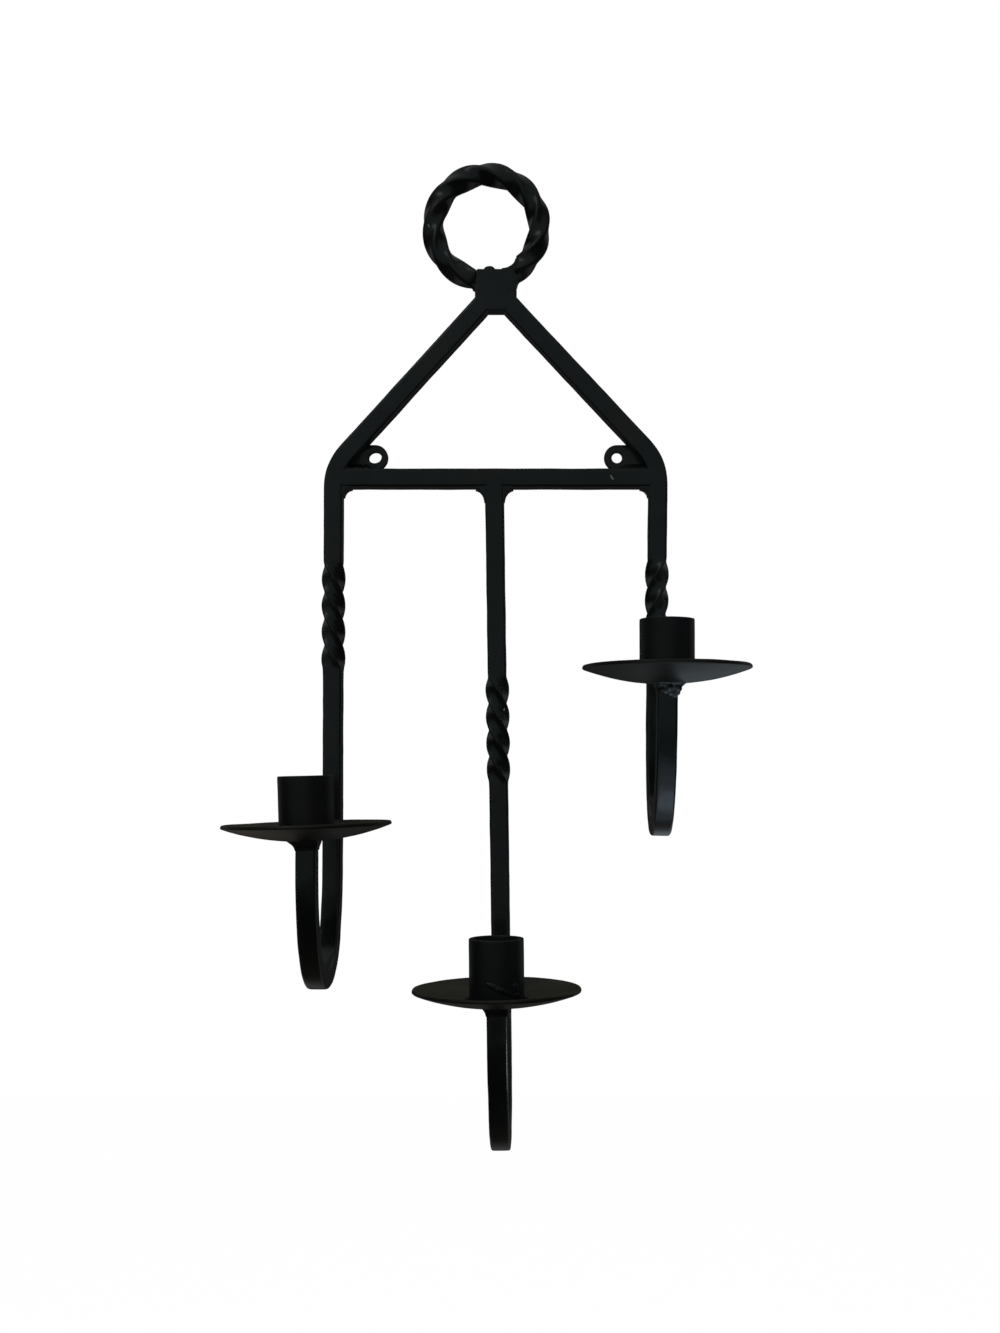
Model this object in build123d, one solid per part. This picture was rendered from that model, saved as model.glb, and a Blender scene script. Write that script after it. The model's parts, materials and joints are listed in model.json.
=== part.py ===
# Wall candle holder of forged square bar: a twisted ring, a peaked frame and three hooked arms,
# each arm carrying a dished drip pan with a tube cup for a candle.
# +X is to the right of someone facing the wall, +Y goes into the wall and +Z is up. The origin lies
# midway between the two screw holes, on the plane of the bars' back faces. Millimetres and degrees.
from build123d import *
import os
from math import asin, atan2, cos, degrees, hypot, radians, sin, sqrt, tan

# Square bar
bar = 10.0
edge = 2.0

# Frame, with heights above the cross bar's centreline
left_shoulder_rise = 5.7
right_shoulder_rise = 8.1
shoulder_inner_radius = 21.0
apex_rise = 93.0
apex_inner_radius = 1.2
stub_spacing = 12.0
stub_top_rise = 109.5

# Twisted ring, bent to a circle that sits a little left of the frame's middle
ring_radius = 27.9
ring_shift = -5.1
ring_rise = 132.9
ring_quarter_arc = 36.0
ring_phase = 3.0
ring_step = 9.0

# Hanging tabs, lying on the cross bar in the frame's lower corners. Each leg's centreline stands the
# tab's reach outside its screw hole.
tab_hole_spacing = 128.0
tab_reach = 21.5
tab_hole = 5.5
tab_width = 13.6
tab_thickness = 3.0

# Twists in the arms: one full turn each, starting below the cross bar's centreline
twist_length = 55.5
left_twist_drop = 44.6
centre_twist_drop = 104.4
right_twist_drop = 42.6

# Hooks, three-centred curves that bring the bar forward and up again. Each hook's lowest point is
# given below the cross bar's centreline, and its pan's lowest point above that.
hook_depth = 71.8
hook_curve_drop = 56.0
hook_bottom_radius = 30.6
left_hook_drop = 264.2
centre_hook_drop = 344.7
right_hook_drop = 187.1
left_pan_rise = 76.0
centre_pan_rise = 77.3
right_pan_rise = 74.6

# How far out of true the hand-made arms are: legs lean to the right, hooks swing to the left,
# pans tip to the right
centre_bar_shift = -0.8
left_lean = -0.2
centre_lean = 0.8
right_lean = -0.5
left_swing = 2.1
centre_swing = 0.5
right_swing = 0.3
left_pan_tip = -1.9
centre_pan_tip = 0.3
right_pan_tip = -0.7

# Drip pans and candle cups. The edge of a pan's underside and the rim of its cup are given above the
# pan's lowest point.
pan_diameter = 82.0
pan_dish = 7.4
pan_thickness = 1.5
cup_bore = 23.0
cup_wall = 1.8
left_cup_rise = 31.7
centre_cup_rise = 33.0
right_cup_rise = 31.2

# Weld beads
weld_bite = 1.0
weld_fullness = 0.32
weld_inset = 0.5
crotch_fall = 5.0
cross_weld_leg = 4.5
tee_weld_width = 5.0
tee_weld_height = 7.0
tab_weld_depth = 4.0
tab_weld_height = 3.0
tab_weld_length = 12.0
ring_bead_radius = 2.2
ring_bead_length = 9.0
ring_bead_show = 1.5
ring_wedge_width = 4.2
ring_wedge_height = 4.7
ring_wedge_fullness = 0.6
pan_weld_height = 4.2
pan_weld_foot = 0.4
pan_weld_reach = 3.6
tack_radius = 2.2
tack_count = 3
first_tack_angle = 270.0

LEFT, RIGHT = -1, 1
bar_mid = -bar / 2
cross_level = -(bar + tab_width) / 2
leg_spacing = tab_hole_spacing + 2 * tab_reach
leg_x = leg_spacing / 2
stub_x = stub_spacing / 2
stub_half_width = stub_x + bar / 2
apex_radius = apex_inner_radius + bar / 2
shoulder_radius = shoulder_inner_radius + bar / 2
apex_level = cross_level + apex_rise
stub_top = cross_level + stub_top_rise
ring_centre = Vector(ring_shift, bar_mid, cross_level + ring_rise)
shoulder_rise = {LEFT: left_shoulder_rise, RIGHT: right_shoulder_rise}

pan_radius = pan_diameter / 2
pan_sphere = (pan_radius**2 + pan_dish**2) / (2 * pan_dish)
pan_inner_sphere = pan_sphere - pan_thickness
pan_spread = asin(pan_radius / pan_sphere)
cup_bore_radius = cup_bore / 2
cup_radius = cup_bore_radius + cup_wall


# A plane turned about its own axes
def turned(plane, y=0, z=0):
    return Plane(plane * Rot(0, y, z))


class BentBar:
    # A square bar followed from one end: straight runs, bends and twists, each starting on the plane
    # where the last one stopped. The plane's Z is the way the bar runs.
    def __init__(self, start, rounding=edge):
        self.plane = start
        self.rounding = rounding
        self.pieces = []

    def section(self):
        if self.rounding:
            return self.plane * RectangleRounded(bar, bar, self.rounding)
        return self.plane * Rectangle(bar, bar)

    def run(self, length):
        self.pieces.append(extrude(self.section(), length).solid())
        self.plane = self.plane.offset(length)

    def bend(self, radius, angle, toward_x=0, toward_y=0):
        toward = self.plane.x_dir * toward_x + self.plane.y_dir * toward_y
        centre = self.plane.origin + toward * radius
        axis = Axis(centre, self.plane.z_dir.cross(toward))
        self.pieces.append(revolve(self.section(), axis, angle).solid())
        arm = (self.plane.origin - centre).rotate(axis, angle)
        x_dir = self.plane.x_dir.rotate(axis, angle)
        z_dir = self.plane.z_dir.rotate(axis, angle)
        self.plane = Plane(centre + arm, x_dir=x_dir, z_dir=z_dir)

    def twist(self, length, angle):
        face = self.section().face()
        way = self.plane.z_dir * length
        self.pieces.append(Solid.extrude_linear_with_rotation(face, self.plane.origin, way, angle))
        self.plane = turned(self.plane.offset(length), z=angle)

    def cut_end(self, tool):
        self.pieces[-1] = self.pieces[-1].cut(tool).solid()

    def solid(self):
        return self.pieces[0].fuse(*self.pieces[1:]).solid()


def sag(sphere_radius, radius):
    return sphere_radius - sqrt(sphere_radius**2 - radius**2)


def bent_corner(radius, angle):
    # Distance from a bend's tangent point to the corner of its two straight runs
    return radius * tan(radians(angle / 2))


def slope_angle(side):
    return degrees(atan2(leg_x - stub_x, apex_rise - shoulder_rise[side]))


def slope_x(side, level):
    # Where the centreline of a sloping run, carried on straight, stands at a level
    fall = apex_level - level
    return side * (stub_x + fall * tan(radians(slope_angle(side))))


# Side bars down to their twists
def side_frame(side, arm, rounding=edge):
    slope = slope_angle(side)
    turn = slope - side * arm["lean"]
    apex_part = bent_corner(apex_radius, slope)
    shoulder_part = bent_corner(shoulder_radius, turn)
    slope_length = hypot(leg_x - stub_x, apex_rise - shoulder_rise[side])
    top = Plane((side * stub_x, bar_mid, stub_top), x_dir=(1, 0, 0), z_dir=(0, 0, -1))
    bent = BentBar(top, rounding)
    bent.run(stub_top_rise - apex_rise - apex_part)
    bent.bend(apex_radius, slope, toward_x=side)
    bent.run(slope_length - apex_part - shoulder_part)
    bent.bend(shoulder_radius, turn, toward_x=-side)
    bent.run(shoulder_rise[side] + arm["twist_drop"] - shoulder_part)
    return bent


# Twist, hook and upright of any arm, cut to seat the pan
def finish_arm(bent, arm):
    half_depth = hook_depth / 2
    centre_fall = hook_curve_drop - hook_bottom_radius
    spread = half_depth**2 + centre_fall**2 - hook_bottom_radius**2
    side_radius = spread / (2 * (half_depth - hook_bottom_radius))
    side_angle = degrees(atan2(centre_fall, side_radius - half_depth))
    spring_drop = arm["hook_drop"] - bar / 2 - hook_curve_drop
    bent.twist(twist_length, arm["hand"] * 360 + arm["swing"])
    bent.run(spring_drop - arm["twist_drop"] - twist_length)
    bent.bend(side_radius, side_angle, toward_y=1)
    bent.bend(hook_bottom_radius, 180 - 2 * side_angle, toward_y=1)
    bent.bend(side_radius, side_angle, toward_y=1)
    upright = arm["pan_rise"] - bar / 2 - hook_curve_drop
    seat = turned(bent.plane.offset(upright), y=arm["pan_tip"])
    bent.run(upright + pan_dish / 2)
    bent.cut_end(pan_blank(seat))
    return bent.solid(), seat


# The space over a pan's underside, to which the upright and its weld are cut
def pan_blank(seat):
    cap = make_face([
        Line((0, 0), (0, pan_dish)),
        Line((0, pan_dish), (pan_radius, pan_dish)),
        RadiusArc((pan_radius, pan_dish), (0, 0), pan_sphere),
    ])
    return seat * revolve(Plane.XZ * cap, Axis.Z).solid()


# Drip pans: a spherical dish of sheet with its edge square to the sheet
def drip_pan(seat):
    under_edge = (pan_radius, pan_dish)
    top_edge = (pan_inner_sphere * sin(pan_spread), pan_sphere - pan_inner_sphere * cos(pan_spread))
    sheet = make_face([
        RadiusArc(under_edge, (0, 0), pan_sphere),
        Line((0, 0), (0, pan_thickness)),
        RadiusArc(top_edge, (0, pan_thickness), pan_inner_sphere),
        Line(top_edge, under_edge),
    ])
    return seat * revolve(Plane.XZ * sheet, Axis.Z).solid()


# Candle cups: a length of tube with its foot cut to the pan's hollow
def candle_cup(seat, pan, rise):
    foot = sag(pan_sphere, cup_radius) + pan_thickness / 2
    tube = Circle(cup_radius) - Circle(cup_bore_radius)
    return extrude(seat.offset(foot) * tube, rise - foot).cut(pan).solid()


# A collar of weld that widens from the upright to the pan's underside
def pan_weld(seat, arm_bar):
    foot = RectangleRounded(bar + 2 * pan_weld_foot, bar + 2 * pan_weld_foot, edge + pan_weld_foot)
    top = RectangleRounded(bar + 2 * pan_weld_reach, bar + 2 * pan_weld_reach, edge + pan_weld_reach)
    collar = loft([seat.offset(-pan_weld_height) * foot, seat.offset(pan_thickness) * top])
    return collar.cut(pan_blank(seat)).cut(arm_bar).solid()


def cup_tacks(seat, pan, cup):
    out = cup_radius - cup_wall / 2 + tack_radius
    height = pan_thickness / 2 + sag(pan_sphere, out) + tack_radius
    tacks = []
    for turn in range(tack_count):
        angle = first_tack_angle + turn * 360 / tack_count
        spot = Pos(out * cos(radians(angle)), out * sin(radians(angle)), height)
        tack = (seat * spot * Sphere(tack_radius)).cut(pan).cut(cup)
        tacks.append(tack.solid())
    return tacks


def cut_back(bead, neighbours):
    for neighbour in neighbours:
        bead = bead.cut(neighbour)
    return bead.solid()


# A bead along a corner of two faces that run from it along side_a and side_b, made to bite into both
# faces and then cut back to them. Its face is hollow at a fullness under a half, and bulges over that.
def corner_bead(corner, side_a, side_b, leg_a, leg_b, length, neighbours, fullness=weld_fullness):
    plane = Plane(corner, x_dir=side_a, z_dir=Vector(side_a).cross(Vector(side_b)))
    toe_a = (leg_a + weld_bite, -weld_bite)
    toe_b = (-weld_bite, leg_b + weld_bite)
    outline = make_face([
        Polyline(toe_a, (-weld_bite, -weld_bite), toe_b),
        ThreePointArc(toe_b, (leg_a * fullness, leg_b * fullness), toe_a),
    ])
    return cut_back(extrude(plane * outline, length / 2, both=True), neighbours)


# A round bead along a line
def round_bead(middle, way, length, neighbours):
    bead = extrude(Plane(middle, z_dir=way) * Circle(ring_bead_radius), length / 2, both=True)
    return cut_back(bead, neighbours)


def twisted_ring():
    # Both ends run on into the stub's space and are cut off on its sides
    sections = []
    bottom = degrees(atan2(-sqrt(ring_radius**2 - ring_shift**2), -ring_shift))
    steps = round(360 / ring_step) - 1
    for step in range(steps + 1):
        angle = bottom + ring_step / 2 + step * (360 - ring_step) / steps
        spin = (angle + ring_phase) / ring_quarter_arc * 90
        out = Vector(cos(radians(angle)), 0, sin(radians(angle)))
        along = Vector(-sin(radians(angle)), 0, cos(radians(angle)))
        station = Plane(ring_centre + out * ring_radius, x_dir=out, z_dir=along)
        sections.append(turned(station, z=spin) * RectangleRounded(bar, bar, edge))
    stub_space = Pos(0, bar_mid, apex_level) * Box(
        2 * stub_half_width, 2 * bar, ring_rise - apex_rise, align=(Align.CENTER, Align.CENTER, Align.MIN))
    return loft(sections).cut(stub_space).solid()


def hanging_tab(side, frame):
    low, high = -tab_width / 2, tab_width / 2
    hole_x = side * tab_hole_spacing / 2
    tip_x = hole_x - side * tab_width / 2
    outline = Plane.XZ * make_face([
        Polyline((hole_x, low), (slope_x(side, low), low), (slope_x(side, high), high), (hole_x, high)),
        ThreePointArc((hole_x, high), (tip_x, 0), (hole_x, low)),
    ])
    plate = extrude(outline, tab_thickness)
    hole = extrude(Plane.XZ * Pos(hole_x, 0) * Circle(tab_hole / 2), tab_thickness)
    return plate.cut(hole).cut(frame).solid()


# The frame and its arms
arms = {
    "left": {
        "hand": -1, "lean": left_lean, "twist_drop": left_twist_drop, "swing": left_swing,
        "hook_drop": left_hook_drop, "pan_rise": left_pan_rise, "pan_tip": left_pan_tip,
        "cup_rise": left_cup_rise,
    },
    "centre": {
        "hand": -1, "lean": centre_lean, "twist_drop": centre_twist_drop, "swing": centre_swing,
        "hook_drop": centre_hook_drop, "pan_rise": centre_pan_rise, "pan_tip": centre_pan_tip,
        "cup_rise": centre_cup_rise,
    },
    "right": {
        "hand": 1, "lean": right_lean, "twist_drop": right_twist_drop, "swing": right_swing,
        "hook_drop": right_hook_drop, "pan_rise": right_pan_rise, "pan_tip": right_pan_tip,
        "cup_rise": right_cup_rise,
    },
}
sides = {"left": LEFT, "right": RIGHT}

parts = {}
frames = {}
arm_bars = {}
seats = {}
for name, side in sides.items():
    arm_bars[name], seats[name] = finish_arm(side_frame(side, arms[name]), arms[name])
    # The same bar with square edges, to which the pieces between the side bars are cut
    frames[name] = side_frame(side, arms[name], rounding=0).solid()
    parts[name + "_side_bar"] = arm_bars[name]

cross_blank = BentBar(Plane((-leg_x, bar_mid, cross_level), x_dir=(0, 1, 0), z_dir=(1, 0, 0)))
cross_blank.run(leg_spacing)
cross_bar = cross_blank.solid().cut(frames["left"], frames["right"]).solid()
parts["cross_bar"] = cross_bar

centre_top = Plane((centre_bar_shift, bar_mid, cross_level), x_dir=(1, 0, 0), z_dir=(0, 0, -1))
centre_bent = BentBar(turned(centre_top, y=centre_lean))
centre_bent.run(centre_twist_drop)
centre_bent.cut_end(Pos(0, bar_mid, cross_level) * Box(leg_spacing, 2 * bar, bar))
arm_bars["centre"], seats["centre"] = finish_arm(centre_bent, arms["centre"])
parts["centre_bar"] = arm_bars["centre"]

ring = twisted_ring()
parts["hanging_ring"] = ring

# Tabs and their welds
under_cross = cross_level - bar / 2
over_cross = cross_level + bar / 2
for name, side in sides.items():
    tab = hanging_tab(side, frames[name])
    parts[name + "_tab"] = tab
    weld_x = side * (tab_hole_spacing / 2 + tab_hole / 2 + tab_weld_length / 2)
    tab_corner = Vector(weld_x, -tab_thickness, over_cross)
    parts[name + "_tab_weld"] = corner_bead(
        tab_corner, (0, -1, 0), (0, 0, 1), tab_weld_depth, tab_weld_height, tab_weld_length,
        (tab, frames[name], cross_bar))

    cross_corner = Vector(side * (leg_x - bar / 2), bar_mid, under_cross)
    parts[name + "_cross_weld"] = corner_bead(
        cross_corner, (-side, 0, 0), (0, 0, -1), cross_weld_leg, cross_weld_leg, bar - 2 * weld_inset,
        (frames[name], cross_bar))

# Tee weld on both sides of the centre bar
parts["tee_weld"] = []
for side in sides.values():
    tee_corner = Vector(centre_bar_shift + side * bar / 2, bar_mid, under_cross)
    parts["tee_weld"].append(corner_bead(
        tee_corner, (side, 0, 0), (0, 0, -1), tee_weld_width, tee_weld_height, bar - 2 * weld_inset,
        (cross_bar, arm_bars["centre"])))

# Weld between the two stubs, down to a flat in the crotch of the slopes
crotch_level = apex_level - crotch_fall
apex_blank = Pos(0, bar_mid, crotch_level) * Box(
    stub_spacing, bar - 2 * weld_inset, stub_top - crotch_level, align=(Align.CENTER, Align.CENTER, Align.MIN))
apex_weld = apex_blank.cut(arm_bars["left"], arm_bars["right"]).solid()
parts["apex_weld"] = apex_weld

# Beads where the ring stands on the stub: a lump on top, a wedge inside the ring's right end and a
# bead under each end
ring_neighbours = (ring, arm_bars["left"], arm_bars["right"], apex_weld)
lump_spot = Vector(ring_shift / 2, bar_mid, stub_top + ring_bead_show - ring_bead_radius)
lump = round_bead(lump_spot, (1, 0, 0), ring_bead_length, ring_neighbours)
wedge_spot = Vector(stub_half_width, bar_mid, stub_top)
wedge = corner_bead(
    wedge_spot, (-1, 0, 0), (0, 0, 1), ring_wedge_width, ring_wedge_height, bar - 2 * edge, ring_neighbours,
    ring_wedge_fullness)
parts["ring_welds"] = [lump, wedge]
for side in sides.values():
    bead_x = side * (stub_half_width + weld_inset)
    ring_side = sqrt((ring_radius + bar / 2)**2 - (bead_x - ring_shift)**2)
    bead_spot = Vector(bead_x, bar_mid, ring_centre.Z - ring_side)
    parts["ring_welds"].append(round_bead(bead_spot, (0, 1, 0), bar - 2 * edge, ring_neighbours))

# Pans, cups and their welds
for name, seat in seats.items():
    pan = drip_pan(seat)
    cup = candle_cup(seat, pan, arms[name]["cup_rise"])
    parts[name + "_drip_pan"] = pan
    parts[name + "_candle_cup"] = cup
    parts[name + "_pan_weld"] = pan_weld(seat, arm_bars[name])
    parts[name + "_cup_welds"] = cup_tacks(seat, pan, cup)

os.makedirs("parts", exist_ok=True)
for name, shape in parts.items():
    whole = Compound(children=shape) if isinstance(shape, list) else shape
    export_step(whole, "parts/" + name + ".step")
    print(name, round(whole.volume, 1))
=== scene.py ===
import json
import math

import bmesh
import bpy
from mathutils import Matrix, Vector


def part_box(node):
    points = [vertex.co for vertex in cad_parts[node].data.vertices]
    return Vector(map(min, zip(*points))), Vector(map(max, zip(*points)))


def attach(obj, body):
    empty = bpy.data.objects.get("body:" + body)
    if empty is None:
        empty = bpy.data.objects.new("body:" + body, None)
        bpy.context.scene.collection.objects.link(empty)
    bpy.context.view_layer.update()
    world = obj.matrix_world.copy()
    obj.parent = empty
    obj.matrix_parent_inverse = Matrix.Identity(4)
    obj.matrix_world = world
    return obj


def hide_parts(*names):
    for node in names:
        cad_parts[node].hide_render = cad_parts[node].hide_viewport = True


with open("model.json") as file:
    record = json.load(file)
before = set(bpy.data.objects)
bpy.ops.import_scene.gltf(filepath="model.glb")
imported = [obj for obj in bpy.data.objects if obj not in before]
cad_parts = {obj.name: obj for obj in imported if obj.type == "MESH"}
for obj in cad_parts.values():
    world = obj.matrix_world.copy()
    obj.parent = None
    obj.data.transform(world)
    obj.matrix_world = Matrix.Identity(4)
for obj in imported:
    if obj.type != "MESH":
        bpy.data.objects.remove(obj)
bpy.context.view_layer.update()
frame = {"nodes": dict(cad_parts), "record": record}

mm = 0.001
touch = 0.01 * mm  # what counts as the same place
mounts = {mount["name"]: mount for mount in frame["record"]["mounts"]}
print("frame loaded:", len(frame["nodes"]), "nodes")


# Small tools for working on one piece at a time

def onlySelect(piece):
    bpy.ops.object.select_all(action="DESELECT")
    piece.select_set(True)
    bpy.context.view_layer.objects.active = piece


def startEdit(piece):
    onlySelect(piece)
    bpy.ops.object.mode_set(mode="EDIT")


def stopEdit():
    bpy.ops.object.mode_set(mode="OBJECT")


def pick(piece, kind, test):  # select vertices, edges or faces by what a test says of them
    bpy.ops.mesh.select_mode(type=kind)
    bpy.ops.mesh.select_all(action="DESELECT")
    mesh = bmesh.from_edit_mesh(piece.data)
    things = {"VERT": mesh.verts, "EDGE": mesh.edges, "FACE": mesh.faces}[kind]
    for thing in things:
        if test(thing):
            thing.select_set(True)
    mesh.select_flush_mode()
    bmesh.update_edit_mesh(piece.data)


def pickOpenEdges():
    bpy.ops.mesh.select_mode(type="EDGE")
    bpy.ops.mesh.select_all(action="DESELECT")
    bpy.ops.mesh.select_non_manifold()


def extrude(way):
    bpy.ops.mesh.extrude_region_move(TRANSFORM_OT_translate={"value": way})


def shift(way):
    bpy.ops.transform.translate(value=way)


def turn(angle, axis, centre):  # right-handed; with no window the operator turns the other way
    bpy.ops.transform.rotate(value=-angle, orient_axis=axis, center_override=centre)


def stretch(factors, centre):
    bpy.ops.transform.resize(value=factors, center_override=centre)


def bakeIn(piece):  # put the object's place into its mesh
    onlySelect(piece)
    bpy.ops.object.transform_apply(location=True, rotation=True, scale=True)


def modify(piece, kind, **settings):
    modifier = piece.modifiers.new(kind.lower(), kind)
    for key, value in settings.items():
        setattr(modifier, key, value)
    onlySelect(piece)
    bpy.ops.object.modifier_apply(modifier=modifier.name)


def roundEdges(piece, width):
    modify(piece, "BEVEL", width=width, segments=3, limit_method="ANGLE", angle_limit=math.radians(40))


def unevenness(piece, size, depth, level=0.5):
    grain = bpy.data.textures.new(piece.name + "_uneven", "CLOUDS")
    grain.noise_scale = size
    modify(piece, "DISPLACE", texture=grain, texture_coords="LOCAL", strength=depth, mid_level=level)


def mendNormals(piece):
    startEdit(piece)
    bpy.ops.mesh.select_all(action="SELECT")
    bpy.ops.mesh.remove_doubles(threshold=touch / 5)
    bpy.ops.mesh.normals_make_consistent(inside=False)
    stopEdit()


def joinAll(pieces, name):
    bpy.ops.object.select_all(action="DESELECT")
    for piece in pieces:
        piece.select_set(True)
    bpy.context.view_layer.objects.active = pieces[0]
    if len(pieces) > 1:
        bpy.ops.object.join()
    pieces[0].name = name
    return pieces[0]


wearMark = {"name": "edgeWear", "gain": 9.0}


def markEdges(piece):  # how far each point stands out from its neighbours, for the rubbed edges
    mesh = piece.data
    sums = [0.0] * len(mesh.vertices)
    counts = [0] * len(mesh.vertices)
    for edge in mesh.edges:
        a, b = (mesh.vertices[i] for i in edge.vertices)
        line = (a.co - b.co).normalized()
        sums[a.index] += a.normal.dot(line)
        sums[b.index] -= b.normal.dot(line)
        counts[a.index] += 1
        counts[b.index] += 1
    marks = [max(0.0, min(1.0, wearMark["gain"] * s / max(1, n))) for s, n in zip(sums, counts)]
    mark = mesh.attributes.new(wearMark["name"], "FLOAT", "POINT")
    mark.data.foreach_set("value", marks)


# Paint: a satin black with orange peel, faint clouds of colour, rubbed edges and a few pale flecks; the pale patches
# on the right arm's weld lumps are partly a painted sheen

class Wire:  # a socket that takes part in sums
    def __init__(self, paint, socket):
        self.paint = paint
        self.socket = socket

    def math(self, operation, first, second):
        return self.paint.node("ShaderNodeMath", {"operation": operation}, {0: first, 1: second})

    def __add__(self, other):
        return self.math("ADD", self, other)

    def __radd__(self, other):
        return self.math("ADD", other, self)

    def __sub__(self, other):
        return self.math("SUBTRACT", self, other)

    def __rsub__(self, other):
        return self.math("SUBTRACT", other, self)

    def __mul__(self, other):
        return self.math("MULTIPLY", self, other)

    def __rmul__(self, other):
        return self.math("MULTIPLY", other, self)

    def most(self, other):
        return self.math("MAXIMUM", self, other)


class Paint:
    def __init__(self, tree):
        self.tree = tree
        self.tree.nodes.clear()

    def node(self, kind, settings=None, sockets=None, out=0):
        made = self.tree.nodes.new(kind)
        for key, value in (settings or {}).items():
            setattr(made, key, value)
        for key, value in (sockets or {}).items():
            if isinstance(value, Wire):
                self.tree.links.new(value.socket, made.inputs[key])
            else:
                made.inputs[key].default_value = value
        return Wire(self, made.outputs[out]) if made.outputs else None

    def noise(self, place, scale, detail, rough):
        return self.node("ShaderNodeTexNoise", None, {
            "Vector": place, "Scale": scale, "Detail": detail, "Roughness": rough})

    def step(self, value, low, high):  # a smooth step from 0 to 1
        return self.node("ShaderNodeMapRange", {"interpolation_type": "SMOOTHSTEP"}, {
            "Value": value, "From Min": low, "From Max": high})

    def mix(self, share, first, second):  # two colours
        return self.node("ShaderNodeMix", {"data_type": "RGBA"}, {0: share, 6: first, 7: second}, out=2)

    def blend(self, share, first, second):  # two shaders
        return self.node("ShaderNodeMixShader", None, {0: share, 1: first, 2: second})

    def rays(self, *kinds):  # whether a ray is of each kind
        return [self.node("ShaderNodeLightPath", out="Is %s Ray" % kind) for kind in kinds]


def newMaterial(name):
    material = bpy.data.materials.new(name)
    material.use_nodes = True
    return material, Paint(material.node_tree)


def satinBlack(name, look):
    material, paint = newMaterial(name)
    place = paint.node("ShaderNodeTexCoord", out="Object")
    worn = paint.node("ShaderNodeAttribute", {"attribute_name": wearMark["name"]}, out="Fac")
    clouds, patches, peel, grit, wave, specks = (
        paint.noise(place, *look[grain]) for grain in ("clouds", "patches", "peel", "grit", "wave", "specks"))
    rubbed = worn * paint.step(clouds * look["rubClouds"] + grit * look["rubGrit"], *look["rubReach"])
    fleckAndSheen = paint.step(specks, *look["fleckReach"])
    for spot, size in look["chipsAndSheen"]:  # single chips, ragged at their rims; on the right arm's welds they are pale patches, partly thin paint and partly a painted sheen
        away = paint.node("ShaderNodeVectorMath", {"operation": "DISTANCE"}, {
            0: place, 1: Vector(spot) * mm}, out="Value")
        ragged = away + (grit - 0.5) * look["chipRagged"]
        fleckAndSheen = fleckAndSheen.most(1 - paint.step(ragged, look["chipCore"] * size * mm, size * mm))
    base = paint.mix(paint.step(clouds, *look["cloudReach"]), look["dark"], look["light"])
    base = paint.mix((1 - paint.step(patches, *look["violetReach"])) * look["violetShare"], base, look["violet"])
    base = paint.mix(paint.step(patches, *look["brownReach"]) * look["brownShare"], base, look["brown"])
    base = paint.mix(rubbed * look["rubShare"], base, look["rub"])
    base = paint.mix(fleckAndSheen * look["fleckShare"], base, look["fleckAndSheen"])
    rough = look["rough"] + (clouds - 0.5) * look["roughClouds"] + (grit - 0.5) * look["roughGrit"]
    rough = rough - rubbed * look["rubSmooth"]
    height = peel * look["peelHeight"] + grit * look["gritHeight"] + wave * look["waveHeight"]
    bump = paint.node("ShaderNodeBump", None, {"Height": height, "Strength": 1.0, "Distance": look["bumpDepth"]})
    shader = paint.node("ShaderNodeBsdfPrincipled", None, {
        "Base Color": base, "Roughness": rough, "Normal": bump, "Specular IOR Level": look["gloss"]})
    paint.node("ShaderNodeOutputMaterial", None, {"Surface": shader})
    return material


paintLook = {  # a grain's three numbers are its scale, detail and roughness; a reach is where a step starts and ends
    "clouds": (62.0, 4.0, 0.6), "patches": (24.0, 3.0, 0.55), "peel": (760.0, 2.0, 0.5),
    "grit": (2100.0, 3.0, 0.65), "wave": (150.0, 1.0, 0.4), "specks": (310.0, 1.5, 0.5),
    "dark": (0.0033, 0.0042, 0.0044, 1), "light": (0.0080, 0.0101, 0.0098, 1), "cloudReach": (0.3, 0.7),
    "violet": (0.0080, 0.0070, 0.0099, 1), "violetShare": 0.5, "violetReach": (0.30, 0.46),
    "brown": (0.0122, 0.0096, 0.0070, 1), "brownShare": 0.5, "brownReach": (0.52, 0.72),
    "rub": (0.030, 0.031, 0.031, 1), "rubShare": 0.15, "rubSmooth": 0.05,
    "rubClouds": 0.6, "rubGrit": 0.4, "rubReach": (0.42, 0.68),
    "fleckAndSheen": (0.42, 0.42, 0.40, 1), "fleckShare": 0.85, "fleckReach": (0.795, 0.825),
    "chipsAndSheen": (), "chipRagged": 0.6 * mm, "chipCore": 0.6,
    "rough": 0.25, "roughClouds": 0.10, "roughGrit": 0.10, "gloss": 0.5,
    "peelHeight": 0.35, "gritHeight": 0.16, "waveHeight": 1.2, "bumpDepth": 0.08 * mm,
}
barChips = (  # place and radius in mm: on the cross bar, the ring and the centre upright
    ((60.5, -10.0, -11.0), 0.5), ((61.0, -10.0, -11.9), 0.7), ((61.5, -10.0, -12.6), 0.5),
    ((-35.4, -9.5, 120.8), 0.5), ((-35.0, -9.5, 120.0), 0.4),
    ((8.2, -77.0, -337.0), 0.6), ((8.2, -80.0, -338.0), 0.5),
)
weldChipsAndSheen = (((83.6, -83.0, -127.6), 2.6), ((87.0, -83.0, -128.6), 3.4))  # pale patches on the right arm's lumps: partly thin paint, partly a painted sheen for the light they catch
sheetLook = paintLook | {
    "clouds": (40.0, 4.0, 0.6), "wave": (90.0, 1.0, 0.4), "rough": 0.42, "gloss": 0.36,
    "fleckReach": (0.83, 0.86), "rubShare": 0.5,
}
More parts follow.
